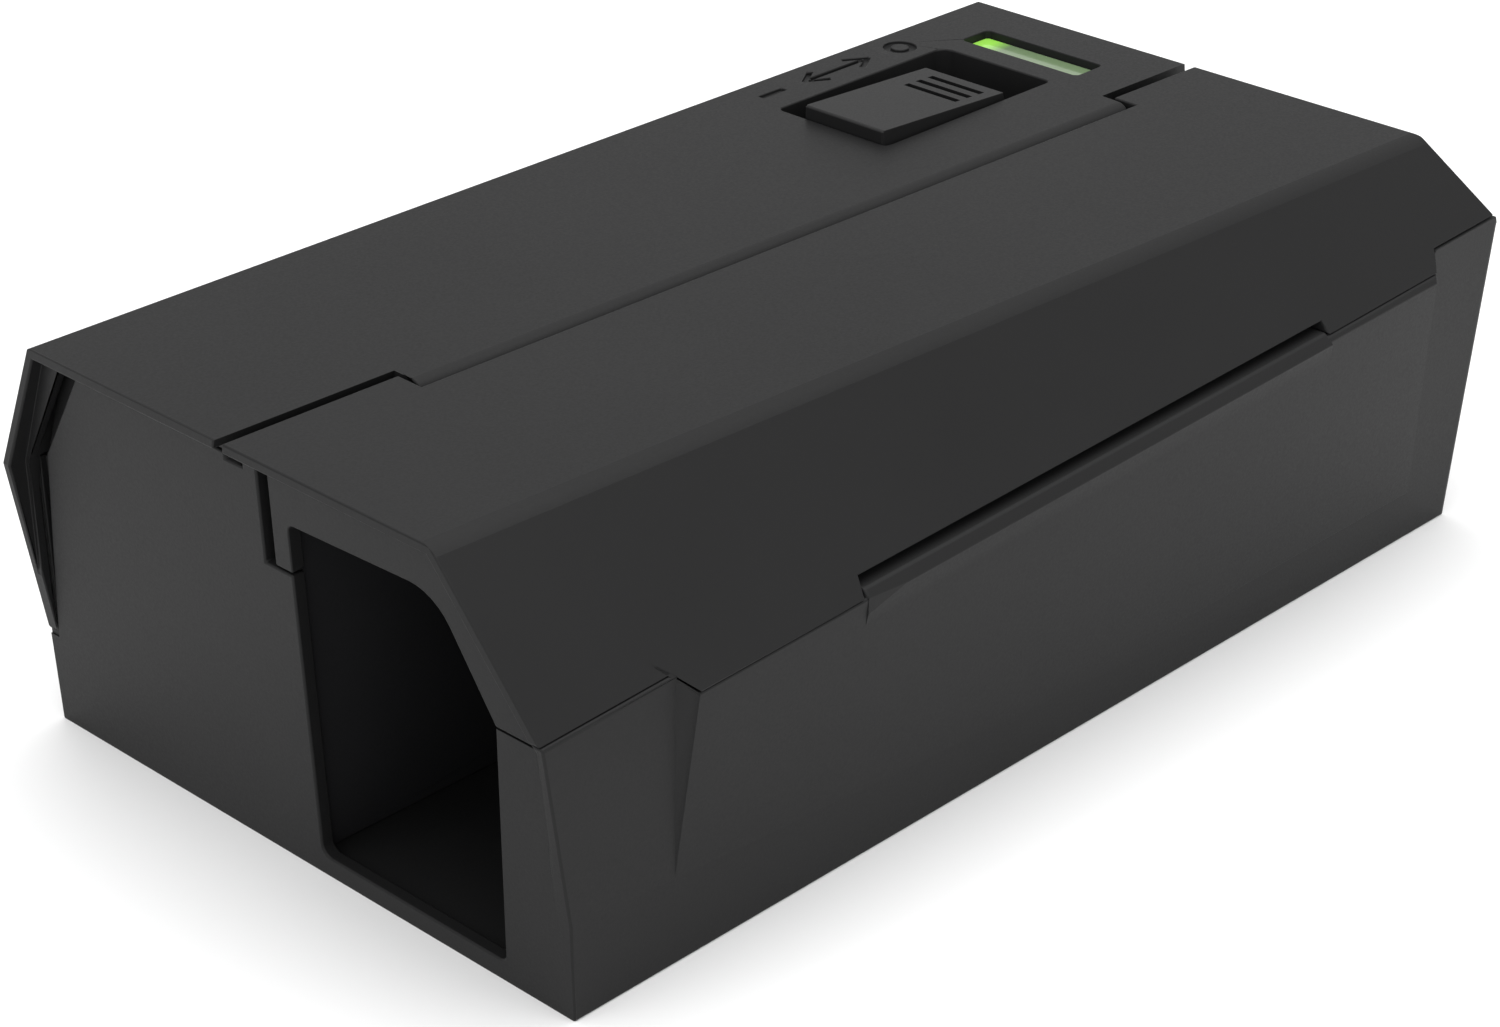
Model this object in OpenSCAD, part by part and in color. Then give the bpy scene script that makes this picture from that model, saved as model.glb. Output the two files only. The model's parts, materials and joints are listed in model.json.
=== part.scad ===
/* [Case] */
// Length of the case at the floor
case_l = 180; // [176:1:186]
// Width of the case at the floor
case_w = 100.5; // [99:0.5:102]
// Overall height of the case
case_h = 58.2; // [57.8:0.1:58.8]
// Wall thickness of the mouldings
wall = 2; // [1.8:0.1:2.2]
// How thick the free edge of the hood is over the end wall
lip_t = 1.3; // [1:0.1:1.6]

/* [Lid] */
// Slope of the seam between lid and cover, in degrees
seam_yaw = -1.19; // [-1.4:0.05:-1]
// Height of the hinge axis
hinge_z = 56.3; // [56.2:0.05:56.35]
// Diameter of the hinge pins
hinge_pin_d = 1.2; // [1:0.1:1.3]
// Height of the slot under the finger grip
grip_slot = 1.2; // [1:0.1:1.6]

/* [Switch] */
// Travel of the power slider
slide_travel = 9; // [6:0.5:9]
// Grooves across the thumb pad
pad_grooves = 3; // [1:1:3]

/* [Tunnel] */
// Diameter of the bait cup
cup_d = 14; // [12:1:16]
// Thickness of the steel plates
plate_t = 0.6; // [0.4:0.1:0.8]

/* [Battery] */
// Diameter of one cell
cell_d = 14.2; // [13.8:0.1:14.5]
// Length of one cell with its button
cell_l = 50; // [49:0.5:50.5]

/* [Hidden] */
$fn = 48;
seam_gap = 0.4;
run_gap = 0.05;
base_lean = 0.0375;
side_lean = 0.0205;
hood_foot_z = 13.5;
ring_z = 40;
far_ring_z = 46;
hood_x = -90.45;
near_x = -case_l / 2;
far_x = case_l / 2;
half_w = case_w / 2;
seam_y = -0.93;
hinge_v = 3.1;
ear_r = 1.3;
lug_r = 1.15;
hinge_roof = 57.7;
cover_v = 5.5;
lid_v = 4.1;
jog_near = -66;
jog_far = 70.3;
bulge_x = [-73.5, 79.1];
bulge_foot_z = 8;
bulge_tilt = 5.4;
bulge_yaw = -0.25;
bulge_ramp = 42;
ledge_z = 37.3;
ledge_tilt = 12.4;
ledge_rise = 2.42;
ledge_yaw = -0.48;
ledge_ramp = 3.6;
ledge_y = -53.17;
side_gap = 0.15;
chamfer_y = -36.23;
chamfer_yaw = -2.46;
divider_y = [-3, -1.2];
grip_x = [-43.3, 51];
grip_z = [41.5, 44.9];
pocket_floor = 52.2;
pad_x = 33.2;
pad_y = [13.2, 29.2];
pad_l = 27;
stem_x = [42, 52.6];
pocket = [pad_x - 0.3, 12.6, pad_x + pad_l + slide_travel + 0.6, 34];
window = [74.4, 11.3, 80.6, 34.2];
board_z = 42.5;
board_t = 1.6;
post_xy = [[-78, 14], [24, 20], [85, 9], [84, 40]];
board_post_xy = [[36, 40.5], [70, 40.5], [52, 7.5]];
door_x = [-82, 26];
door_z = [5, 36];
door_axis = [49.4, 6];
door_pin_r = 0.7;
cell_y = 38;
cell_z = [12.6, 28.2];
cell_x = [-79, -27.6];
plug_x = -14;
plug_y = -5.6;
tab_x = [-30, 22, 55];
lead_z = 8;

cross_points = [[-half_w, 0], [half_w, 0], [half_w + 0.85, ring_z], [44.2, case_h],
    [-half_w - side_lean * case_h, case_h]];
profile_points = [[near_x, 0], [far_x, 0], [far_x + 5, far_ring_z], [far_x, case_h],
    [near_x - 3.7, case_h], [near_x - 4.6, ring_z], [near_x - 0.5, hood_foot_z]];
cavity_profile = [[near_x - 2, 0], [far_x, 0], [far_x + 5, far_ring_z], [far_x, case_h],
    [near_x - 2, case_h]];
panel_edge = [[48.6, hood_foot_z], [47.3, 26.6], [45.4, 42.3], [36.6, 56]];

// Moves every edge of an anticlockwise outline inwards by t
function unit(v) = v / norm(v);
function inset_corner(a, b, c, t) =
    let (n1 = [-unit(b - a).y, unit(b - a).x], n2 = [-unit(c - b).y, unit(c - b).x])
    b + (n1 + n2) * t / (1 + n1 * n2);
function inset(p, t) = [for (i = [0:len(p) - 1])
    inset_corner(p[(i + len(p) - 1) % len(p)], p[i], p[(i + 1) % len(p)], t)];

// Rounds each corner of an outline with its own radius
function arc_corner(a, b, c, r, n) =
    let (u = unit(a - b), v = unit(c - b), half = acos(u * v) / 2,
        centre = b + unit(u + v) * r / sin(half),
        p = b + u * r / tan(half) - centre, q = b + v * r / tan(half) - centre,
        start = atan2(p.y, p.x), turn = (atan2(q.y, q.x) - start + 540) % 360 - 180)
    [for (i = [0:n]) centre + r * [cos(start + turn * i / n), sin(start + turn * i / n)]];
function rounded(p, radii, n = 6) = [for (i = [0:len(p) - 1])
    each radii[i] <= 0 ? [p[i]]
    : arc_corner(p[(i + len(p) - 1) % len(p)], p[i], p[(i + 1) % len(p)], radii[i], n)];

// Height of the lid's lower edge where the chamfer meets the proud panel, and beyond its ends
function parting(x) = 38.25 + (x + 71.3) * 0.0423;
function crease(x) = case_h - half_w - 0.85 - chamfer_y - x * tan(chamfer_yaw);

module yz_prism(points, x0, x1) {
    translate([x0, 0, 0]) rotate([90, 0, 90]) linear_extrude(x1 - x0) polygon(points);
}

module xz_prism(points, y0, y1) {
    translate([0, y1, 0]) rotate([90, 0, 0]) linear_extrude(y1 - y0) polygon(points);
}

module xy_prism(points, z0, z1) {
    translate([0, 0, z0]) linear_extrude(z1 - z0) polygon(points);
}

module box(x0, y0, z0, x1, y1, z1) {
    translate([x0, y0, z0]) cube([x1 - x0, y1 - y0, z1 - z0]);
}

// Places children in the frame of the seam: x along it, y across it
module in_seam() {
    translate([0, seam_y, 0]) rotate([0, 0, seam_yaw]) children();
}

// Cylinder along the seam, on the hinge axis
module hinge_rod(u0, u1, r) {
    in_seam() translate([u0, hinge_v, hinge_z]) rotate([0, 90, 0]) cylinder(r = r, h = u1 - u0);
}

// Everything below the lid's long chamfer, moved inwards by t
module under_chamfer(t) {
    translate([0, chamfer_y, case_h]) rotate([0, 0, chamfer_yaw]) rotate([45, 0, 0])
        translate([-150, -150, -300 - t]) cube(300);
}

// Half space behind a face that leans like the side wall and ramps out from x
module ramp(x, y, turn) {
    translate([x, y, 0]) rotate([atan(side_lean), 0, 0]) rotate([0, 0, turn])
        translate([-150, 0, -10]) cube([300, 200, 90]);
}

// The proud panel on the long side, leaning out from its foot
module bulge(x0, x1) {
    intersection() {
        translate([0, -half_w - 0.15, bulge_foot_z]) rotate([0, 0, bulge_yaw])
            rotate([bulge_tilt, 0, 0]) translate([-150, 0, -10]) cube([300, 20, 80]);
        xz_prism([[x0, bulge_foot_z], [x1, bulge_foot_z], [x1, case_h], [x0, case_h]], -60, -half_w + 0.75);
        ramp(x0, -half_w, -bulge_ramp);
        ramp(x1, -half_w, bulge_ramp);
        under_chamfer(0);
    }
}

// The thin ledge under the finger grip, which fades in from its near end
module ledge(x0, x1) {
    intersection() {
        translate([0, ledge_y, ledge_z]) rotate([0, 0, ledge_yaw]) rotate([0, -ledge_rise, 0])
            rotate([ledge_tilt, 0, 0]) translate([-150, 0, -10]) cube([300, 20, 80]);
        box(x0, -60, ledge_z - 4, x1, -half_w + 0.75, case_h);
        ramp(x0, ledge_y + side_lean * ledge_z, -ledge_ramp);
        under_chamfer(0);
    }
}

module outer_block() {
    intersection() {
        yz_prism(cross_points, -110, 110);
        xz_prism(profile_points, -80, 80);
        under_chamfer(0);
    }
    bulge(bulge_x[0], bulge_x[1]);
}

module cavity(t) {
    intersection() {
        yz_prism(inset(cross_points, t), near_x - 2, 110);
        xz_prism([for (p = inset(cavity_profile, t)) [p.x < 0 ? near_x - 2 : p.x, p.y]], -80, 80);
        under_chamfer(t);
    }
}

// Skin of the whole case, open under the hood at the entrance end
module case_skin() {
    difference() {
        outer_block();
        cavity(wall);
        intersection() {
            yz_prism(inset(cross_points, lip_t), -110, near_x - 2 + 0.01);
            under_chamfer(lip_t);
        }
    }
}

// Slab of the entrance end wall, leaning out with the base
module end_slab(x0, x1) {
    xz_prism([[near_x + x0, 0], [near_x + x1, 0], [near_x + x1 - base_lean * 60, 60],
        [near_x + x0 - base_lean * 60, 60]], -60, 60);
}

module entrance() {
    points = [[-38.6, 2.9], [-4.6, 2.9], [-4.2, 50], [-30.4, 50.8], [-39.8, 36.4]];
    yz_prism(rounded(points, [1.5, 1.5, 1, 8, 0.2]), -100, -80);
}

// The lid's side of the seam and of the parting line
module lid_zone() {
    near = bulge_x[0];
    far = bulge_x[1];
    edge = [[-110, crease(-110) + 0.5], [near - 0.2, crease(near) + 0.5], [near + 2.3, parting(near + 2.3)],
        [grip_x[0], parting(grip_x[0])], [grip_x[0] + 1, grip_z[0]], [grip_x[1], grip_z[1]],
        [grip_x[1], parting(grip_x[1])], [far - 2, parting(far - 2)], [far, crease(far) + 0.1],
        [110, crease(110) + 0.1], [110, 80], [-110, 80]];
    intersection() {
        in_seam() xy_prism([[-120, -80], [120, -80], [120, lid_v - 0.3], [jog_far + 0.7, lid_v - 0.3],
            [jog_far + 0.7, -seam_gap], [jog_near - 0.5, -seam_gap], [jog_near - 0.5, lid_v],
            [-120, lid_v]], 30, 70);
        xz_prism(edge, -80, 20);
    }
}

// The base's side of the parting line
module base_zone() {
    gap = side_gap;
    near = bulge_x[0];
    far = bulge_x[1];
    edge = [[-110, crease(-110) + 0.5 - gap], [near - 0.3, crease(near) + 0.5 - gap],
        [near + 2.15, parting(near + 2.3) - gap], [grip_x[0] + 0.4, parting(grip_x[0]) - gap],
        [grip_x[0] + 0.5, grip_z[0] - grip_slot], [grip_x[1] - 0.3, grip_z[1] - grip_slot],
        [grip_x[1] - 0.3, parting(grip_x[1]) - gap], [far - 1.8, parting(far - 2) - gap],
        [far + 0.2, crease(far) + 0.1 - gap], [110, crease(110) + 0.1 - gap], [110, -5], [-110, -5]];
    xz_prism([for (i = [len(edge) - 1:-1:0]) edge[i]], -80, 2.5);
    box(-110, 2.4, -5, 110, 80, hood_foot_z - 0.15);
    box(hood_x + 0.15, 2.4, -5, 110, 80, ring_z - 0.1);
}

module cover_zone() {
    in_seam() xy_prism([[-120, cover_v], [jog_near, cover_v], [jog_near, 0], [jog_far, 0],
        [jog_far, cover_v], [120, cover_v], [120, 80], [-120, 80]], ring_z + 0.1, 70);
    box(-110, 30, hood_foot_z, hood_x - 0.15, 80, ring_z + 0.2);
}

module post(xy, z0, z1, r, bore_r) {
    translate([xy.x, xy.y, z0]) difference() {
        cylinder(r = r, h = z1 - z0);
        translate([0, 0, -1]) cylinder(r = bore_r, h = z1 - z0 + 2);
    }
}

// Rod along the battery door's hinge axis
module door_rod(x0, x1, r) {
    translate([x0, door_axis.x, door_axis.y]) rotate([0, 90, 0]) cylinder(r = r, h = x1 - x0);
}

module base_end_wall() {
    intersection() {
        end_slab(0, wall);
        difference() {
            yz_prism([[-60, 0], [60, 0], [60, hood_foot_z - 0.5], panel_edge[0], panel_edge[1],
                panel_edge[2], panel_edge[3], [0.9, 56], [0.9, 43], [-10, 43], [-10, 36.45],
                [-60, 36.45]], -100, -80);
            entrance();
            in_seam() box(-100, hinge_v - 0.5, 55.05, -80, 5.9, 60);
        }
        yz_prism(inset(cross_points, wall - 0.1), -110, 0);
    }
    intersection() {
        end_slab(wall + 0.3, wall + 2);
        yz_prism([[45.5, hood_foot_z - 3], [60, hood_foot_z - 3], [60, 56], [34.5, 56],
            [43.4, 42]], -100, -80);
        union() {
            intersection() {
                yz_prism(inset(cross_points, wall - 0.1), -110, 0);
                box(-110, 0, 0, 0, 60, ring_z - 0.1);
            }
            intersection() {
                yz_prism(inset(cross_points, wall + 0.15), -110, 0);
                box(-110, 0, ring_z - 0.2, 0, 60, 56);
            }
        }
    }
    intersection() {
        end_slab(wall - 0.1, wall + 0.4);
        yz_prism([[45.5, hood_foot_z - 3], panel_edge[0] - [0.2, 0], panel_edge[1] - [0.2, 0],
            panel_edge[2] - [0.2, 0], panel_edge[3] - [0.2, 0], [34.5, 56], [43.4, 42]], -100, -80);
    }
}

// Tongue that stands up behind the lid's lower edge
module base_tongue() {
    back_y = 1.55 - half_w;
    intersection() {
        xz_prism([[-66, 33], [76, 33], [76, 44.5], [-66, 39.5]], back_y, back_y + 1.5);
        under_chamfer(wall + 0.35);
    }
    xz_prism([[-66, 33], [76, 33], [76, 42.5], [-66, 36.8]], -half_w + 0.5, back_y + 0.1);
}

module base_shell() {
    color("#35363a") difference() {
        union() {
            intersection() {
                union() {
                    case_skin();
                    ledge(grip_x[0] + 0.5, grip_x[1] - 0.3);
                }
                base_zone();
            }
            base_end_wall();
            base_tongue();
            for (p = post_xy) post(p, wall - 0.1, 17.8, 3.6, 1.5);
            for (x = [door_x[0] - 4, door_x[1] + 0.4]) box(x, 47.2, wall - 0.1, x + 3.6, 49.8, 8.6);
        }
        for (p = post_xy) translate([p.x, p.y, -1]) {
            cylinder(r = 1.5, h = 20);
            cylinder(r = 3, h = 3.4);
        }
        box(door_x[0] - 0.4, 40, 4.1, door_x[1] + 0.4, 60, door_z[1] + 0.4);
        door_rod(door_x[0] - 2.4, door_x[1] + 2.4, door_pin_r + run_gap);
        for (i = [0:4]) box(80, -40 + 6 * i, 14, 100, -37.6 + 6 * i, 30);
    }
}

// Outlines of the marks beside the switch
module icon_bar() {
    box(34.7, 38.6, case_h - 0.5, 39.7, 39.8, case_h + 1);
}

module icon_arrow() {
    box(45.4, 38.75, case_h - 0.5, 57, 39.65, case_h + 1);
    for (side = [-1, 1]) translate([51.2 + side * 7, 39.2, 0])
        for (turn = [-1, 1]) rotate([0, 0, 90 - side * 90 + turn * 32])
            box(-4, -0.45, case_h - 0.5, 0.2, 0.45, case_h + 1);
}

module icon_ring() {
    translate([65.3, 38.9, case_h - 0.5]) difference() {
        cylinder(r = 2.6, h = 2);
        translate([0, 0, -1]) cylinder(r = 1.4, h = 4);
    }
}

module control_cover() {
    color("#393a3e") difference() {
        union() {
            intersection() {
                case_skin();
                cover_zone();
            }
            box(pocket[0] - 1.5, pocket[1] - 1.5, pocket_floor - 1.5,
                pocket[2] + 1.5, pocket[3] + 1.5, case_h - 1);
            for (p = post_xy) post(p, 18, case_h - 1, 3, 1.27);
            for (p = board_post_xy) post(p, board_z + board_t, case_h - 1, 2.5, 1.02);
            intersection() {
                box(near_x - 2, 30, 20, hood_x - 0.15, 60, case_h - 1);
                yz_prism([[49.3, 24], [52, 24], [52, ring_z + 0.1], [46, case_h - 1], [39.3, case_h - 1],
                    [48.9, ring_z + 0.5]], -100, -80);
                yz_prism(inset(cross_points, 1), -110, 0);
            }
        }
        xy_prism(rounded([[pocket[0], pocket[1]], [pocket[2], pocket[1]], [pocket[2], pocket[3]],
            [pocket[0], pocket[3]]], [1, 1, 2, 1]), pocket_floor, 70);
        box(stem_x[0] - 0.4, 17.9, 40, stem_x[1] + slide_travel + 0.4, 23.1, 60);
        xy_prism(rounded([[window[0], window[1]], [window[2], window[1]], [window[2], window[3]],
            [window[0], window[3]]], [0.8, 0.8, 0.8, 0.8]), 50, 70);
        for (p = post_xy) translate([p.x, p.y, 50]) cylinder(r = 1.27, h = case_h - 53);
        icon_bar();
        icon_arrow();
        icon_ring();
        in_seam() difference() {
            box(jog_near - 1, -1, case_h - 2.3, jog_far + 1, 2.3, case_h + 1);
            translate([jog_near - 2, 2.3, case_h - 2.3]) rotate([0, 90, 0])
                cylinder(r = 2.3, h = jog_far - jog_near + 4);
        }
        in_seam() for (u = [-120, jog_far - 0.01]) yz_prism([[cover_v - 1, case_h - wall - 3],
            [cover_v + 0.45, case_h - wall - 3], [cover_v + 0.45, case_h - wall], [cover_v, case_h],
            [cover_v - 1, case_h]], u, u < 0 ? jog_near + 0.01 : 120);
    }
}

module lid_ear(u0, u1) {
    in_seam() translate([u0, 0, 0]) difference() {
        union() {
            translate([0, hinge_v, hinge_z]) rotate([0, 90, 0]) cylinder(r = ear_r, h = u1 - u0);
            box(0, hinge_v - ear_r, hinge_z, u1 - u0, hinge_v + 0.9, case_h - wall + 0.5);
        }
        translate([-1, hinge_v, hinge_z]) rotate([0, 90, 0])
            cylinder(r = hinge_pin_d / 2 + run_gap, h = u1 - u0 + 2);
    }
}

module lid_shell() {
    color("#37383c") difference() {
        union() {
            intersection() {
                case_skin();
                lid_zone();
            }
            intersection() {
                end_slab(0, wall);
                yz_prism([[-47.6, 36.6], [-20, 36.6], [-20, 43.3], [-1.2, 43.3], [-1.2, case_h - 1],
                    [-47.6, case_h - 1]], -100, -80);
                under_chamfer(wall - 0.1);
                yz_prism(inset(cross_points, wall - 0.1), -110, 0);
            }
            lid_ear(-89, -84.4);
            lid_ear(-77.6, -70.5);
            lid_ear(73, 77.6);
            lid_ear(84.4, 87);
        }
        entrance();
        in_seam() {
            for (u = [-84.4, 77.6]) box(u, hinge_v - lug_r - 0.4, 50, u + 6.8, 6, hinge_roof);
            translate([jog_near - 0.4, -seam_gap, case_h - wall]) rotate([45, 0, 0])
                translate([0, -0.3, -0.3]) cube([jog_far - jog_near + 0.9, 0.6, 0.6]);
        }
        hinge_rod(-89.5, -70, hinge_pin_d / 2 + run_gap);
        hinge_rod(72.5, 87.5, hinge_pin_d / 2 + run_gap);
    }
}

module hinge_lug(u0, u1) {
    in_seam() {
        translate([u0, hinge_v, hinge_z]) rotate([0, 90, 0]) cylinder(r = lug_r, h = u1 - u0);
        box(u0, hinge_v - lug_r, 47, u1, hinge_v + 0.8, hinge_z);
    }
}

module chamber_divider() {
    color("#2c2d30") difference() {
        union() {
            intersection() {
                cavity(wall + 0.12);
                xz_prism([[near_x + wall + 0.12, 0], [110, 0], [110, 53.2],
                    [near_x + wall + 0.12 - base_lean * 53.2, 53.2]], divider_y[0], divider_y[1]);
            }
            hinge_lug(-84, -78);
            hinge_lug(78, 84);
            box(-83.8, divider_y[0] + 1, 44, -78.2, 4.4, 49.5);
            box(78.2, divider_y[0] + 1, 44, 83.8, 1.3, 49.5);
            box(plug_x - 4.5, plug_y - 2.6, 38, plug_x + 4.5, divider_y[0] + 0.1, 53.2);
        }
        hinge_rod(-85, -77, hinge_pin_d / 2);
        hinge_rod(77, 85, hinge_pin_d / 2);
        translate([plug_x, plug_y, 40]) cylinder(r = 1.2 + run_gap, h = 20);
        box(plug_x - 3.6, plug_y - 1.8, 30, plug_x + 3.6, plug_y + 1.8, 46);
        for (x = tab_x) translate([x, 0, lead_z]) rotate([90, 0, 0]) cylinder(r = 1.2, h = 10);
    }
}

module hinge_pin(u0, u1) {
    color("silver") hinge_rod(u0, u1, hinge_pin_d / 2);
}

module baffle_front() {
    color("#2a2b2e") intersection() {
        cavity(wall + 0.15);
        yz_prism(rounded([[-49, wall + 0.2], [-23, wall + 0.2], [-23, 40], [-46.8, 40],
            [-46.8, 32.6], [-49, 32.6]], [0, 0, 3, 0, 0, 0]), -37, -35);
    }
}

module baffle_rear() {
    color("#2a2b2e") yz_prism(rounded([[-27, wall + plate_t + 0.3], [divider_y[0] - 0.1, wall + plate_t + 0.3],
        [divider_y[0] - 0.1, 46], [-27, 46]], [0, 0, 0, 3]), 6, 8);
}

// One steel floor plate with its solder tab against the divider
module kill_plate(x0, x1, tab) {
    color("silver") {
        xy_prism(rounded([[x0, -46], [x1, -46], [x1, -4.2], [x0, -4.2]], [1.5, 1.5, 1.5, 1.5]),
            wall + 0.05, wall + 0.05 + plate_t);
        box(tab - 3, -4.2 - plate_t, wall + 0.1, tab + 3, -4.2, 12);
    }
}

module bait_cup() {
    color("#44464a") translate([79, -25, wall + 0.05]) difference() {
        cylinder(d = cup_d, h = 7);
        translate([0, 0, 1.2]) cylinder(d = cup_d - 2.4, h = 8);
    }
}

module circuit_board() {
    color("darkgreen") difference() {
        xy_prism(rounded([[30, 4], [79.8, 4], [79.8, 45], [30, 45]], [1.5, 1.5, 1.5, 1.5]),
            board_z, board_z + board_t);
        for (p = board_post_xy) translate([p.x, p.y, board_z - 1]) cylinder(r = 1.15, h = 4);
    }
}

module control_chip() {
    color("#202124") {
        box(32.5, 6, board_z + board_t, 40.5, 14, board_z + board_t + 1.6);
        for (i = [0:5]) box(33.2 + i * 1.27, 5.2, board_z + board_t, 33.7 + i * 1.27, 6, board_z + board_t + 0.7);
    }
}

module hv_transformer() {
    color("#6d5a3a") {
        difference() {
            box(46, 13, 25, 68, 31, board_z);
            box(49.5, 12, 29, 64.5, 32, board_z - 4);
        }
        translate([57, 22, 29]) cylinder(r = 7.4, h = board_z - 33);
    }
}

module hv_capacitor() {
    color("#31507c") translate([38, 25, 24.5]) {
        cylinder(r = 5, h = board_z - 25.5);
        for (y = [-1.8, 1.8]) translate([0, y, board_z - 26]) cylinder(r = 0.4, h = 1.5);
    }
}

module slide_switch_body() {
    color("#8b9095") difference() {
        box(38, 15.6, board_z + board_t, 66, 25.4, 49.2);
        box(43.2, 18.2, board_z + board_t + 1.2, 60.8, 22.8, 50);
    }
}

module switch_actuator() {
    color("#1f2022") {
        box(44, 18.6, 45.8, 51.6, 22.4, 48.2);
        box(46, 18.9, 48.1, 49.6, 22.1, 51.4);
    }
}

// Thumb pad: a wedge that falls towards the far end, with its stem below
module switch_pad() {
    color("#3a3b3f") difference() {
        union() {
            intersection() {
                xz_prism([[pad_x, 53], [pad_x + pad_l, 53], [pad_x + pad_l, 58.8], [pad_x + 0.3, 60.1],
                    [pad_x, 59.9]], 0, 50);
                yz_prism([[pad_y[0], 53], [pad_y[1], 53], [pad_y[1] - 0.4, 60.2],
                    [pad_y[0] + 0.4, 60.2]], 20, 70);
            }
            box(stem_x[0], 18.3, 49.8, stem_x[1], 22.7, 53.5);
        }
        box(45.9, 18.8, 49, 49.7, 22.2, 51.5);
        for (i = [0:pad_grooves - 1]) box(51.2 + 2.7 * i, 15.4, 57.4, 52.4 + 2.7 * i, 25.6, 62);
    }
}

module status_led() {
    color("limegreen") translate([77.5, 22.7, board_z + board_t]) {
        cylinder(r = 2.9, h = 1);
        cylinder(r = 2.5, h = 5);
        translate([0, 0, 5]) intersection() {
            sphere(r = 2.5);
            translate([-3, -3, 0]) cube(6);
        }
    }
}

module indicator_lens() {
    color("yellowgreen") {
        xy_prism(rounded([[window[0] + 0.1, window[1] + 0.1], [window[2] - 0.1, window[1] + 0.1],
            [window[2] - 0.1, window[3] - 0.1], [window[0] + 0.1, window[3] - 0.1]],
            [0.7, 0.7, 0.7, 0.7]), 55, 57);
        box(window[0] - 1, window[1] - 1, 54.4, window[2] + 1, window[3] + 1, case_h - wall - 0.05);
    }
}

module interlock_switch() {
    color("#24262a") box(plug_x - 3.5, plug_y - 1.7, 38.4, plug_x + 3.5, plug_y + 1.7, 45.7);
}

module interlock_plunger() {
    color("#b8342c") translate([plug_x, plug_y, 46.1]) cylinder(r = 1.2, h = 9.8);
}

module battery_tray() {
    color("#2f3033") difference() {
        box(-84, 29.4, wall + 0.1, 27.4, 46.4, 37);
        for (z = cell_z) box(-82.4, 30.6, z - 7.5, 25.8, 60, z + 7.5);
        box(-86, 44, 0, 30, 60, 6.2);
    }
}

module battery_cell(i) {
    x = cell_x[i % 2];
    z = cell_z[floor(i / 2)];
    flip = i < 2 ? 0 : 1;
    color("#c9a227") translate([x + flip * cell_l, cell_y, z]) rotate([0, 0, 180 * flip])
        rotate([0, 90, 0]) {
            cylinder(d = cell_d, h = cell_l - 1.2);
            cylinder(r = 2.7, h = cell_l);
        }
}

module battery_contacts() {
    color("silver") {
        box(25, 32, cell_z[0] - 5, 25.7, 44, cell_z[0] + 5);
        box(-82.3, 32, cell_z[1] - 5, -81.6, 44, cell_z[1] + 5);
    }
}

// Flat spiral springs, drawn as rings that step towards the cell
module battery_springs() {
    color("silver") for (end = [0, 1]) translate([end == 0 ? -82.3 : 25.7, cell_y, cell_z[end]])
        rotate([0, end == 0 ? 90 : -90, 0]) for (i = [0:2]) translate([0, 0, i * 0.9]) difference() {
            cylinder(r = 5 - i * 0.8, h = 1);
            translate([0, 0, -1]) cylinder(r = 4 - i * 0.8, h = 3);
        }
}

// Straight wire runs with a solder-sized ball at each bend
module wire(points, r) {
    for (i = [0:len(points) - 2]) {
        run = points[i + 1] - points[i];
        translate(points[i]) rotate([0, acos(run.z / norm(run)), atan2(run.y, run.x)])
            cylinder(r = r, h = norm(run));
        if (i > 0) translate(points[i]) sphere(r = 1.3 * r, $fn = 16);
    }
}

module plate_leads() {
    color("#a03030") {
        wire([[tab_x[0], -4.2, lead_z], [tab_x[0], 1.4, lead_z], [33, 1.4, 30], [33, 6.5, 36], [33, 6.5, board_z]],
            0.7);
        wire([[tab_x[1], -4.2, lead_z], [tab_x[1], 4, lead_z], [37, 6.5, 30], [37, 6.5, board_z]], 0.7);
        wire([[tab_x[2], -4.2, lead_z], [tab_x[2], 4, lead_z], [41, 6.5, 30], [41, 6.5, board_z]], 0.7);
    }
}

module battery_leads() {
    color("#b02828") {
        wire([[27.4, cell_y, cell_z[0]], [30, cell_y, cell_z[0]], [32, 33, 22], [32, 33, board_z]], 0.6);
        wire([[27.4, cell_y, cell_z[1]], [32, cell_y, cell_z[1]], [32, cell_y, board_z]], 0.6);
    }
}

module screw(xy, z0, head_r, head_h, r, len) {
    translate([xy.x, xy.y, z0]) difference() {
        union() {
            cylinder(r = head_r, h = head_h);
            cylinder(r = r, h = len);
        }
        for (turn = [0, 90]) rotate([0, 0, turn])
            translate([-head_r * 0.6, -0.3, -1]) cube([head_r * 1.2, 0.6, 1.7]);
    }
}

module housing_screws() {
    color("silver") for (p = post_xy) screw(p, 0.5, 2.7, 1.8, 1.25, 28);
}

module board_screws() {
    color("silver") for (p = board_post_xy) screw(p, board_z - 1.3, 1.9, 1.3, 1, 8);
}

module battery_door() {
    x0 = door_x[0];
    x1 = door_x[1];
    lean = ring_z / 0.85;
    color("#3a3b3f") difference() {
        union() {
            yz_prism([[48.3, door_z[0]], [half_w + door_z[0] / lean, door_z[0]],
                [half_w + door_z[1] / lean, door_z[1]], [48.3, door_z[1]]], x0, x1);
            door_rod(x0 - 2, x1 + 2, door_pin_r);
        }
        for (i = [0:5]) box(-47 + i * 6.4, 50.6, 29, -45 + i * 6.4, 60, 34);
    }
}

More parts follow.
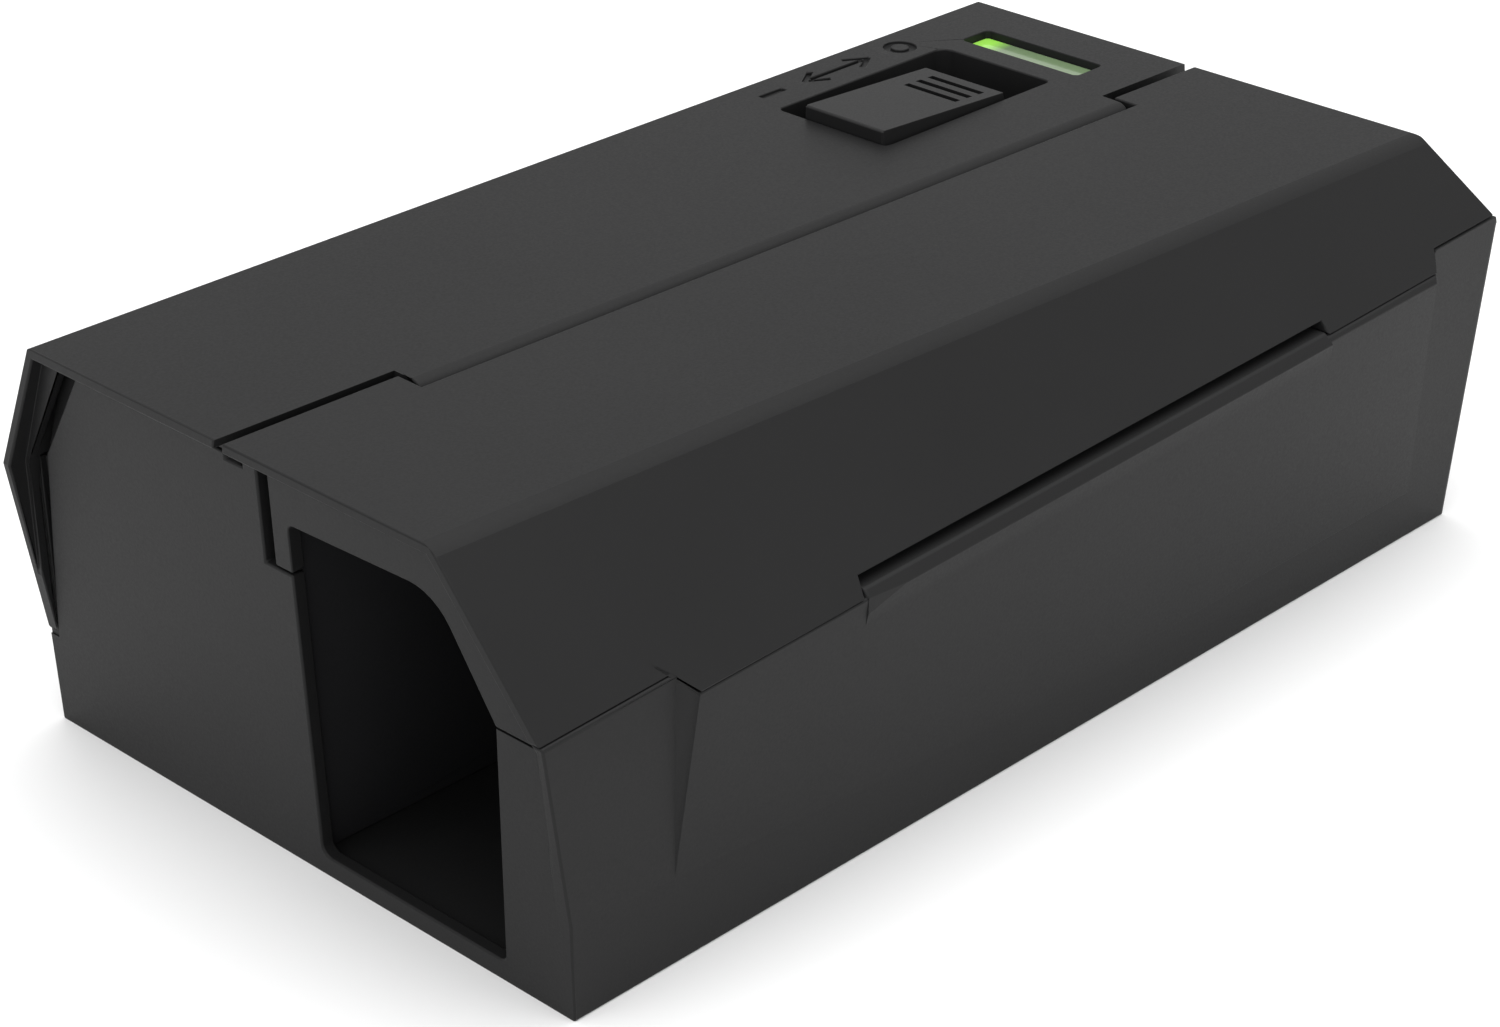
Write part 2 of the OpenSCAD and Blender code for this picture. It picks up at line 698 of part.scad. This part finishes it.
base_shell();
control_cover();
chamber_divider();
baffle_front();
baffle_rear();
kill_plate(-33, 2, tab_x[0]);  // kill_plate_front
kill_plate(10.5, 42, tab_x[1]);  // kill_plate_middle
kill_plate(45, 69, tab_x[2]);  // kill_plate_rear
bait_cup();
circuit_board();
control_chip();
hv_transformer();
hv_capacitor();
slide_switch_body();
status_led();
indicator_lens();
interlock_switch();
battery_tray();
battery_cell(0);  // battery_cell_1
battery_cell(1);  // battery_cell_2
battery_cell(2);  // battery_cell_3
battery_cell(3);  // battery_cell_4
battery_contacts();
battery_springs();
hinge_pin(-89.3, -70.2);  // hinge_pin_front
hinge_pin(72.7, 87.3);  // hinge_pin_rear
plate_leads();
battery_leads();
housing_screws();
board_screws();
lid_shell();
switch_pad();
switch_actuator();
interlock_plunger();
battery_door();
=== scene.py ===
import bmesh
import bpy
import json
import math
import numpy as np
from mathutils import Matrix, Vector


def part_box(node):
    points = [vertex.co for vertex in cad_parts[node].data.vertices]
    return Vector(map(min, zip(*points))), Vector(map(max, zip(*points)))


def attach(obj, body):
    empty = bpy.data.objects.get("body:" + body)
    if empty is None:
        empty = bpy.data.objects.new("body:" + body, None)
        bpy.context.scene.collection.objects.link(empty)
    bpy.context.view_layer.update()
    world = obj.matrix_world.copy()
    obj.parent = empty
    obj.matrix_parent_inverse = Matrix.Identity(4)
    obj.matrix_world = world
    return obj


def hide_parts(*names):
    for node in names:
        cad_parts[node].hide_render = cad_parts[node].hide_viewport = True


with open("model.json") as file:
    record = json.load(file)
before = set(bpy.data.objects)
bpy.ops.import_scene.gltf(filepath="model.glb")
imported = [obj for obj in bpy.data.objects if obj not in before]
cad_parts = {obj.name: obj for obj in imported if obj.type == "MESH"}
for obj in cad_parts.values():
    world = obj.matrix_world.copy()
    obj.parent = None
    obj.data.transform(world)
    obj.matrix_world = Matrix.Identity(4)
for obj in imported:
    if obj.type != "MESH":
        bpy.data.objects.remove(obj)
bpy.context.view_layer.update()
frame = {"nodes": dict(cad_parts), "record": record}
nodes = frame["nodes"]
mm = 0.001
print("frame loaded:", len(nodes), "CAD nodes")


# Materials: every pattern reads Object coordinates, so it stays on its piece

def newMaterial(name):
    material = bpy.data.materials.new(name)
    material.use_nodes = True
    tree = material.node_tree
    shader = tree.nodes["Principled BSDF"]
    coords = tree.nodes.new("ShaderNodeTexCoord")
    return material, tree, shader, coords


def noiseNode(tree, coords, scale, detail=3.0, rough=0.55, stretch=None):
    noise = tree.nodes.new("ShaderNodeTexNoise")
    noise.inputs["Scale"].default_value = scale
    noise.inputs["Detail"].default_value = detail
    noise.inputs["Roughness"].default_value = rough
    if stretch is None:
        tree.links.new(coords.outputs["Object"], noise.inputs["Vector"])
    else:
        mapping = tree.nodes.new("ShaderNodeMapping")
        mapping.inputs["Scale"].default_value = stretch
        tree.links.new(coords.outputs["Object"], mapping.inputs["Vector"])
        tree.links.new(mapping.outputs["Vector"], noise.inputs["Vector"])
    return noise


def remap(tree, source, low, high, outLow, outHigh):
    ranger = tree.nodes.new("ShaderNodeMapRange")
    ranger.inputs["From Min"].default_value = low
    ranger.inputs["From Max"].default_value = high
    ranger.inputs["To Min"].default_value = outLow
    ranger.inputs["To Max"].default_value = outHigh
    tree.links.new(source, ranger.inputs["Value"])
    return ranger.outputs["Result"]


def mixColours(tree, factor, first, second):
    mixer = tree.nodes.new("ShaderNodeMix")
    mixer.data_type = "RGBA"
    if factor is not None:
        tree.links.new(factor, mixer.inputs[0])
    for socket, value in ((mixer.inputs[6], first), (mixer.inputs[7], second)):
        if isinstance(value, tuple):
            socket.default_value = (*value, 1.0)
        else:
            tree.links.new(value, socket)
    return mixer.outputs[2]


def addBump(tree, shader, height, strength, distance):
    bump = tree.nodes.new("ShaderNodeBump")
    bump.inputs["Strength"].default_value = strength
    bump.inputs["Distance"].default_value = distance
    tree.links.new(height, bump.inputs["Height"])
    tree.links.new(bump.outputs["Normal"], shader.inputs["Normal"])


def tint(tree, shader, noise, look):
    # base colour from dark to light over the noise's middle range
    tone = remap(tree, noise.outputs["Fac"], 0.3, 0.7, 0.0, 1.0)
    tree.links.new(mixColours(tree, tone, look["dark"], look["light"]), shader.inputs["Base Color"])


def roughen(tree, shader, noise, low, high):
    rough = remap(tree, noise.outputs["Fac"], 0.3, 0.7, low, high)
    tree.links.new(rough, shader.inputs["Roughness"])


def mouldedPlastic(name, look):
    material, tree, shader, coords = newMaterial(name)
    grain = noiseNode(tree, coords, look["grainScale"], 2.0, 0.6)
    cloud = noiseNode(tree, coords, look["cloudScale"], 4.0, 0.55)
    tint(tree, shader, cloud, look)
    roughen(tree, shader, grain, look["roughLow"], look["roughHigh"])
    shader.inputs["Specular IOR Level"].default_value = look["specular"]
    addBump(tree, shader, grain.outputs["Fac"], look["bump"], look["bumpDepth"])
    return material


def brushedMetal(name, look):
    material, tree, shader, coords = newMaterial(name)
    lines = noiseNode(tree, coords, look["lineScale"], 3.0, 0.6, look["stretch"])
    stain = noiseNode(tree, coords, 60.0, 4.0, 0.6)
    tint(tree, shader, lines, look)
    roughen(tree, shader, stain, look["roughLow"], look["roughHigh"])
    shader.inputs["Metallic"].default_value = 1.0
    addBump(tree, shader, lines.outputs["Fac"], 0.15, 0.00005)
    return material


def glossMaterial(name, look):
    material, tree, shader, coords = newMaterial(name)
    cloud = noiseNode(tree, coords, look["cloudScale"], 3.0, 0.5)
    tint(tree, shader, cloud, look)
    roughen(tree, shader, cloud, look["roughLow"], look["roughHigh"])
    shader.inputs["Coat Weight"].default_value = look.get("coat", 0.0)
    addBump(tree, shader, cloud.outputs["Fac"], 0.05, 0.00005)
    return material


def glowPaintedLensMaterial(name, look):
    # light guide with painted glow: it emits light itself and is brighter at its +Y end and along its -X edge (a
    # painted edge highlight), fading towards the middle
    material, tree, shader, coords = newMaterial(name)
    split = tree.nodes.new("ShaderNodeSeparateXYZ")
    tree.links.new(coords.outputs["Object"], split.inputs["Vector"])
    paintedEndGlow = remap(tree, split.outputs["Y"], look["endY"][0], look["endY"][1], 0.0, 1.0)
    paintedEdgeHighlight = remap(tree, split.outputs["X"], look["edgeX"][0], look["edgeX"][1], 1.0, 0.0)
    strongest = tree.nodes.new("ShaderNodeMath")
    strongest.operation = "MAXIMUM"
    tree.links.new(paintedEndGlow, strongest.inputs[0])
    tree.links.new(paintedEdgeHighlight, strongest.inputs[1])
    paintedGlowMask = strongest.outputs["Value"]
    tree.links.new(mixColours(tree, paintedGlowMask, look["dull"], look["paintedBrightColour"]), shader.inputs["Base Color"])
    tree.links.new(mixColours(tree, paintedGlowMask, look["paintedFaintGlow"], look["paintedBrightGlow"]), shader.inputs["Emission Color"])
    shader.inputs["Emission Strength"].default_value = look["strength"]
    frost = noiseNode(tree, coords, 900.0, 2.0, 0.5)
    roughen(tree, shader, frost, 0.12, 0.26)
    shader.inputs["Coat Weight"].default_value = 0.5
    return material


shellLook = dict(grainScale=2600.0, cloudScale=22.0, dark=(0.0102, 0.0102, 0.0104), light=(0.0118, 0.0118, 0.0120),
                 roughLow=0.40, roughHigh=0.50, specular=0.14, bump=0.16, bumpDepth=0.00006)
finishes = {
    "base_black": mouldedPlastic("baseShellPlastic", shellLook),
    "cover_black": mouldedPlastic("coverShellPlastic", dict(shellLook, cloudScale=19.0)),
    "lid_black": mouldedPlastic("lidShellPlastic", dict(shellLook, cloudScale=20.0)),
    "pad_black": mouldedPlastic("thumbPadPlastic", dict(shellLook, grainScale=3400.0, roughLow=0.36, roughHigh=0.44)),
    "inner_black": mouldedPlastic("innerPlastic", dict(shellLook, dark=(0.012, 0.012, 0.013),
                                                     light=(0.016, 0.016, 0.017), roughLow=0.5, roughHigh=0.62)),
    "cup_grey": mouldedPlastic("baitCupPlastic", dict(shellLook, dark=(0.06, 0.06, 0.063),
                                                    light=(0.08, 0.08, 0.084))),
    "chip_black": mouldedPlastic("chipEpoxy", dict(shellLook, dark=(0.012, 0.012, 0.013),
                                                 light=(0.02, 0.02, 0.021), cloudScale=160.0)),
    "steel": brushedMetal("rolledSteel", dict(lineScale=700.0, stretch=(0.08, 1.0, 1.0), dark=(0.42, 0.42, 0.43),
                                            light=(0.6, 0.6, 0.61), roughLow=0.24, roughHigh=0.38)),
    "switch_metal": brushedMetal("tinPlate", dict(lineScale=900.0, stretch=(1.0, 0.1, 1.0), dark=(0.4, 0.4, 0.41),
                                                light=(0.55, 0.55, 0.56), roughLow=0.3, roughHigh=0.42)),
    "board_green": glossMaterial("solderMask", dict(cloudScale=240.0, dark=(0.008, 0.07, 0.022),
                                                  light=(0.014, 0.13, 0.04), roughLow=0.3, roughHigh=0.42)),
    "winding_amber": glossMaterial("windingTape", dict(cloudScale=500.0, dark=(0.3, 0.15, 0.03),
                                                     light=(0.42, 0.24, 0.06), roughLow=0.28, roughHigh=0.4)),
    "capacitor_blue": glossMaterial("capacitorSleeve", dict(cloudScale=90.0, dark=(0.015, 0.05, 0.2),
                                                          light=(0.02, 0.07, 0.27), roughLow=0.2, roughHigh=0.3)),
    "led_green": glossMaterial("lampEpoxy", dict(cloudScale=300.0, dark=(0.1, 0.55, 0.08),
                                               light=(0.16, 0.7, 0.12), roughLow=0.08, roughHigh=0.14, coat=0.6)),
    "wire_red": glossMaterial("wireSleeve", dict(cloudScale=600.0, dark=(0.34, 0.02, 0.02),
                                               light=(0.42, 0.03, 0.03), roughLow=0.4, roughHigh=0.5)),
    "plunger_red": glossMaterial("plungerAcetal", dict(cloudScale=400.0, dark=(0.4, 0.03, 0.02),
                                                     light=(0.5, 0.05, 0.03), roughLow=0.28, roughHigh=0.36)),
    "cell_wrap": glossMaterial("cellSleeveDark", dict(cloudScale=70.0, dark=(0.02, 0.02, 0.022),
                                                    light=(0.03, 0.03, 0.033), roughLow=0.22, roughHigh=0.32,
                                                    coat=0.4)),
}
cellAmber = glossMaterial("cellSleeveAmber", dict(cloudScale=70.0, dark=(0.5, 0.22, 0.03),
                                                light=(0.6, 0.3, 0.05), roughLow=0.2, roughHigh=0.3, coat=0.4))
windowLow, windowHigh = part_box("indicator_lens")
# painted glow and painted edge highlight for the lens: emission and a brighter base colour at its +Y end and -X edge
finishes["lens_green"] = glowPaintedLensMaterial("statusLensPaintedGlow", dict(
    endY=(windowHigh.y - 6.5 * mm, windowHigh.y - 3.5 * mm), edgeX=(windowLow.x + 1.4 * mm, windowLow.x + 2.6 * mm),
    dull=(0.13, 0.19, 0.1), paintedBrightColour=(0.24, 0.52, 0.07), paintedFaintGlow=(0.06, 0.09, 0.045), paintedBrightGlow=(0.2, 0.5, 0.05),
    strength=0.42))
for entry in frame["record"]["subparts"]:
    cadNode = nodes[entry["node"]]
    cadNode.data.materials.clear()
    cadNode.data.materials.append(finishes[entry["material_slot"]])
print("materials made:", len(finishes) + 1)


# Softened copies of the CAD mouldings

lidCrease = dict(middleY=-36.23 * mm, yaw=math.radians(-2.46))  # where the lid's top meets its slope
softening = dict(mergeWithin=0.002 * mm, flatWithin=math.radians(0.4), sharpFrom=math.radians(25),
                 shadeSharpFrom=math.radians(24), uprightFrom=20 * mm, uprightRoom=4 * mm)


def creaseLineY(x):
    return lidCrease["middleY"] + x * math.tan(lidCrease["yaw"])


def inBox(point, corners):
    return all(corners[0][i] * mm <= point[i] <= corners[1][i] * mm for i in range(3))


def softenedCopy(nodeName, pieceName, bodyName, look):
    # each sharp edge gets a bevel weight that its neighbouring faces have room for
    mesh = nodes[nodeName].data.copy()
    mesh.name = pieceName
    piece = bpy.data.objects.new(pieceName, mesh)
    bpy.context.scene.collection.objects.link(piece)
    work = bmesh.new()
    work.from_mesh(mesh)
    bmesh.ops.remove_doubles(work, verts=work.verts, dist=softening["mergeWithin"])
    bmesh.ops.dissolve_limit(work, angle_limit=softening["flatWithin"], verts=work.verts, edges=work.edges)
    widest = look.get("creaseWidth", look["width"])
    weights = work.edges.layers.float.new("bevel_weight_edge")
    thinness = {face: face.calc_area() / max(e.calc_length() for e in face.edges) for face in work.faces}
    for edge in work.edges:
        if len(edge.link_faces) != 2 or edge.calc_face_angle(0) < softening["sharpFrom"]:
            continue
        length = edge.calc_length()
        room = min(face.calc_area() / max(length, 1e-6) for face in edge.link_faces)
        slimmest = min(thinness[face] for vert in edge.verts for face in vert.link_faces)
        width = min(look["width"], 0.3 * room, 0.8 * slimmest)  # slivers at either end keep the bevel small
        a, b = edge.verts[0].co, edge.verts[1].co
        onCrease = all(abs(p.z - look.get("creaseZ", -1)) < 0.05 * mm
                       and abs(p.y - creaseLineY(p.x)) < 0.3 * mm for p in (a, b))
        crisp = any(inBox((a + b) / 2, corners) for corners in look.get("crisp", ()))
        steep = abs(a.z - b.z) > 0.8 * length
        if steep and length > softening["uprightFrom"] and room > softening["uprightRoom"] and edge.is_convex:
            width = min(look.get("uprightWidth", width), 0.8 * slimmest)
        blended = any(inBox((a + b) / 2, corners) for corners in look.get("blended", ()))
        if blended and steep:
            edge.seam = True  # kept smooth below: the ramp runs into the wall without a line
            continue
        edge[weights] = 0.0 if crisp else 1.0 if onCrease else min(width / widest, 1.0)
    splitBelow = look.get("splitBelow", math.inf)  # area in square metres from which a face stays whole
    bmesh.ops.connect_verts_concave(work, faces=[face for face in work.faces if face.calc_area() < splitBelow])
    work.to_mesh(mesh)
    work.free()
    mesh.shade_smooth()
    mesh.set_sharp_from_angle(angle=softening["shadeSharpFrom"])
    for edge in mesh.edges:
        if edge.use_seam:  # set above on blended edges
            edge.use_edge_sharp = False
    bevel = piece.modifiers.new("softEdges", "BEVEL")
    bevel.limit_method = "WEIGHT"
    bevel.width = widest
    bevel.segments = look.get("segments", 2)
    bevel.use_clamp_overlap = False
    evener = piece.modifiers.new("evenShading", "WEIGHTED_NORMAL")
    evener.mode = "FACE_AREA"
    evener.weight = 100
    evener.keep_sharp = True
    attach(piece, bodyName)
    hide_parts(nodeName)
    return piece


shellSoftness = dict(width=0.3 * mm, creaseWidth=1.5 * mm, creaseZ=58.2 * mm, segments=3, uprightWidth=0.7 * mm)
panelRamps = (((-75, -55, 4), (-70, -49, 39)), ((74.5, -56, 4), (80, -49, 43)))  # in mm, as the next is
grooveField = ((51.0, 15.2, 57.0), (58.0, 25.8, 61.0))
softenedPieces = {
    "base_shell": ("baseMoulding", "housing", dict(shellSoftness, splitBelow=0.0, blended=panelRamps)),
    "control_cover": ("coverMoulding", "housing", shellSoftness),
    "lid_shell": ("lidMoulding", "lid", dict(shellSoftness, splitBelow=800 * mm * mm)),
    "battery_door": ("batteryDoorMoulding", "battery_cover", dict(width=0.3 * mm)),
    "switch_pad": ("thumbPad", "power_slider", dict(width=0.35 * mm, segments=3, crisp=[grooveField])),
    "indicator_lens": ("statusLensBlock", "housing", dict(width=0.25 * mm)),
    "chamber_divider": ("dividerMoulding", "housing", dict(width=0.2 * mm)),
    "bait_cup": ("baitCupMoulding", "housing", dict(width=0.3 * mm)),
    "battery_tray": ("batteryTrayMoulding", "housing", dict(width=0.25 * mm)),
    "baffle_front": ("frontBaffle", "housing", dict(width=0.3 * mm)),
    "baffle_rear": ("rearBaffle", "housing", dict(width=0.3 * mm)),
    "kill_plate_front": ("frontPlate", "housing", dict(width=0.12 * mm)),
    "kill_plate_middle": ("middlePlate", "housing", dict(width=0.12 * mm)),
    "kill_plate_rear": ("rearPlate", "housing", dict(width=0.12 * mm)),
}
for nodeName, (pieceName, bodyName, look) in softenedPieces.items():
    softenedCopy(nodeName, pieceName, bodyName, look)
print("mouldings softened:", len(softenedPieces))


# Swept and turned pieces

def gridMesh(name, points, closeU=False, closeV=False, capEnds=False):
    # points: rows x columns x 3; each quad joins a row and a column to the next
    rows, columns = points.shape[:2]
    index = np.arange(rows * columns).reshape(rows, columns)
    if closeU:
        index = np.vstack([index, index[:1]])
    if closeV:
        index = np.hstack([index, index[:, :1]])
    quads = np.stack([index[:-1, :-1], index[:-1, 1:], index[1:, 1:], index[1:, :-1]], axis=-1).reshape(-1, 4)
    faces = quads.tolist()
    if capEnds:
        faces.append(index[0, :columns][::-1].tolist())
        faces.append(index[-1, :columns].tolist())
    mesh = bpy.data.meshes.new(name)
    mesh.from_pydata(points.reshape(-1, 3).tolist(), [], faces)
    work = bmesh.new()
    work.from_mesh(mesh)
    bmesh.ops.recalc_face_normals(work, faces=work.faces)
    work.to_mesh(mesh)
    work.free()
    mesh.shade_smooth()
    mesh.set_sharp_from_angle(angle=math.radians(40))
    return mesh


def tubePoints(path, radius, sides):
    # circle of the given radius carried along the path, square to its tangent
    tangent = np.gradient(path, axis=0)
    tangent /= np.linalg.norm(tangent, axis=1, keepdims=True)
    guide = np.array([0.31, 0.57, 0.76])
    across = np.cross(tangent, guide)
    across /= np.linalg.norm(across, axis=1, keepdims=True)
    up = np.cross(tangent, across)
    turn = np.linspace(0, 2 * math.pi, sides, endpoint=False)
    ring = across[:, None, :] * np.cos(turn)[None, :, None] + up[:, None, :] * np.sin(turn)[None, :, None]
    return path[:, None, :] + radius * ring


def smoothPath(corners, rounds=4):
    # corner cutting: each round keeps a quarter and three quarters of every run, and the two ends
    path = np.array(corners, float)
    for _ in range(rounds):
        early = path[:-1] * 0.75 + path[1:] * 0.25
        late = path[:-1] * 0.25 + path[1:] * 0.75
        cut = np.stack([early, late], axis=1).reshape(-1, 3)
        path = np.vstack([path[:1], cut, path[-1:]])
    return path


def addPiece(name, meshes, bodyName, materials, replaced=()):
    joined = bmesh.new()
    for mesh in meshes:
        joined.from_mesh(mesh)
        bpy.data.meshes.remove(mesh)
    result = bpy.data.meshes.new(name)
    joined.to_mesh(result)
    joined.free()
    for material in materials:
        result.materials.append(material)
    piece = bpy.data.objects.new(name, result)
    bpy.context.scene.collection.objects.link(piece)
    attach(piece, bodyName)
    if replaced:
        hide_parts(*replaced)
    return piece


def coilPath(baseX, direction, centre, coil):
    # conical helix about X: radius shrinks from foot to tip while x climbs
    t = np.linspace(0, 1, coil["steps"])
    turn = 2 * math.pi * coil["turns"] * t
    radius = coil["footRadius"] + (coil["tipRadius"] - coil["footRadius"]) * t
    x = baseX + direction * coil["height"] * t
    return np.stack([x, centre[0] + radius * np.cos(turn), centre[1] + radius * np.sin(turn)], axis=1)


springCoil = dict(turns=3.6, steps=150, footRadius=4.5 * mm, tipRadius=2.3 * mm, height=2.2 * mm, wire=0.3 * mm)
lowSpring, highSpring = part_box("battery_springs")
springSpots = [(lowSpring.x + springCoil["wire"], 1, 12.6 * mm), (highSpring.x - springCoil["wire"], -1, 28.2 * mm)]
springMeshes = [gridMesh("springCoil", tubePoints(coilPath(x, side, (38 * mm, z), springCoil), springCoil["wire"], 8),
                         closeV=True, capEnds=True) for x, side, z in springSpots]
addPiece("batterySpringCoils", springMeshes, "housing", [finishes["steel"]], ["battery_springs"])

plateRoutes = [  # in mm
    [(-30, -4.2, 8), (-30, 1.4, 8), (33, 1.4, 30), (33, 6.5, 36), (33, 6.5, 42.5)],
    [(22, -4.2, 8), (22, 4, 8), (37, 6.5, 30), (37, 6.5, 42.5)],
    [(55, -4.2, 8), (55, 4, 8), (41, 6.5, 30), (41, 6.5, 42.5)],
]
cellRoutes = [  # in mm
    [(27.4, 38, 12.6), (30, 38, 12.6), (32, 33, 22), (32, 33, 42.5)],
    [(27.4, 38, 28.2), (32, 38, 28.2), (32, 38, 42.5)],
]
for pieceName, routes, radius, replaced in (("plateLeadWires", plateRoutes, 0.7, "plate_leads"),
                                           ("batteryLeadWires", cellRoutes, 0.6, "battery_leads")):
    wires = [gridMesh("wire", tubePoints(smoothPath(np.array(route) * mm), radius * mm, 12), closeV=True, capEnds=True)
             for route in routes]
    addPiece(pieceName, wires, "housing", [finishes["wire_red"]], [replaced])

cellShape = dict(sides=40, radius=7.1 * mm, nub=2.7 * mm, crimp=0.35 * mm)


def cellMesh(nodeName, plusAtHigh):
    # turned profile of radius against distance from the flat end, spun about the cell's axis
    low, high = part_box(nodeName)
    centreY, centreZ = (low.y + high.y) / 2, (low.z + high.z) / 2
    length = high.x - low.x
    r, crimp = cellShape["radius"], cellShape["crimp"]
    profile = np.array([[0.0, 0.0005 * mm], [0.0, r - 1.6 * mm], [0.0, r - 0.4 * mm], [crimp, r],
                        [length * 0.66, r], [length * 0.66, r], [length - 1.6 * mm, r], [length - 1.2 * mm, r - crimp],
                        [length - 1.2 * mm, r - 1.6 * mm], [length - 1.2 * mm, cellShape["nub"]],
                        [length - 0.2 * mm, cellShape["nub"]], [length, cellShape["nub"] - 0.3 * mm],
                        [length, 0.0005 * mm]])
    turn = np.linspace(0, 2 * math.pi, cellShape["sides"], endpoint=False)
    along = low.x + profile[:, 0] if plusAtHigh else high.x - profile[:, 0]
    points = np.stack([np.repeat(along[:, None], len(turn), axis=1),
                       centreY + profile[:, 1:2] * np.cos(turn)[None, :],
                       centreZ + profile[:, 1:2] * np.sin(turn)[None, :]], axis=-1)
    mesh = gridMesh(nodeName + "Turned", points, closeV=True, capEnds=True)
    band = np.repeat(np.array([2, 0, 0, 0, 0, 1, 1, 0, 2, 2, 2, 2]), len(turn))
    mesh.polygons.foreach_set("material_index", np.concatenate([band, [2, 2]]).astype(np.int32))
    return mesh


for i in range(4):
    name = f"battery_cell_{i + 1}"
    addPiece(f"dryCell{i + 1}", [cellMesh(name, i < 2)], "housing",
             [finishes["cell_wrap"], cellAmber, finishes["steel"]], [name])
print("springs, wires and cells made")


# Camera, floor and light

view = dict(target=(-29.3, -19.75, 33.75), azimuth=-45.994, elevation=27.506, distance=451.2, lens=83.5)
azimuth, elevation = math.radians(view["azimuth"]), math.radians(view["elevation"])
target = Vector(view["target"]) * mm
away = Vector((math.sin(azimuth) * math.cos(elevation), -math.cos(azimuth) * math.cos(elevation),
               math.sin(elevation)))
cameraData = bpy.data.cameras.new("viewCamera")
cameraData.lens = view["lens"]
cameraData.sensor_width = 36.0
cameraData.clip_start = 0.01
cameraData.shift_x = 0.0019
cameraData.shift_y = 0.0
camera = bpy.data.objects.new("viewCamera", cameraData)
camera.location = target + away * view["distance"] * mm
camera.rotation_euler = (-away).to_track_quat("-Z", "Y").to_euler()
bpy.context.scene.collection.objects.link(camera)
bpy.context.scene.camera = camera

floorMesh = bpy.data.meshes.new("studioFloor")
reach = 6.0
floorMesh.from_pydata([(-reach, -reach, 0), (reach, -reach, 0), (reach, reach, 0), (-reach, reach, 0)], [],
                      [(0, 1, 2, 3)])
floorMaterial, floorTree, floorShader, floorCoords = newMaterial("paleFloor")
paper = noiseNode(floorTree, floorCoords, 3.0, 2.0, 0.5)
paperTone = remap(floorTree, paper.outputs["Fac"], 0.3, 0.7, 0.0, 1.0)
floorTree.links.new(mixColours(floorTree, paperTone, (0.86, 0.86, 0.86), (0.88, 0.88, 0.88)),
                    floorShader.inputs["Base Color"])
floorShader.inputs["Roughness"].default_value = 0.9
floorMesh.materials.append(floorMaterial)
floor = bpy.data.objects.new("studioFloor", floorMesh)
bpy.context.scene.collection.objects.link(floor)

world = bpy.data.worlds.new("studioWorld")
bpy.context.scene.world = world
world.use_nodes = True
world.node_tree.nodes["Background"].inputs["Color"].default_value = (1, 1, 1, 1)
world.node_tree.nodes["Background"].inputs["Strength"].default_value = 0.72

softboxes = {
    "topSoftbox": dict(place=(0.1, 0.05, 1.3), size=1.6, power=17.0),
    "leftSoftbox": dict(place=(-1.3, 0.1, 0.7), size=1.1, power=4.5),
    "rightSoftbox": dict(place=(0.3, -1.4, 0.7), size=1.2, power=4.5),
    "frontSoftbox": dict(place=(-0.9, -0.95, 0.75), size=0.9, power=3.0),
}
for name, box in softboxes.items():
    lightData = bpy.data.lights.new(name, "AREA")
    lightData.shape = "SQUARE"
    lightData.size = box["size"]
    lightData.energy = box["power"]
    light = bpy.data.objects.new(name, lightData)
    light.location = box["place"]
    light.rotation_euler = (Vector((0, 0, 0.03)) - light.location).to_track_quat("-Z", "Y").to_euler()
    bpy.context.scene.collection.objects.link(light)
bpy.context.scene.view_settings.view_transform = "Standard"
print("camera, floor and lights placed")
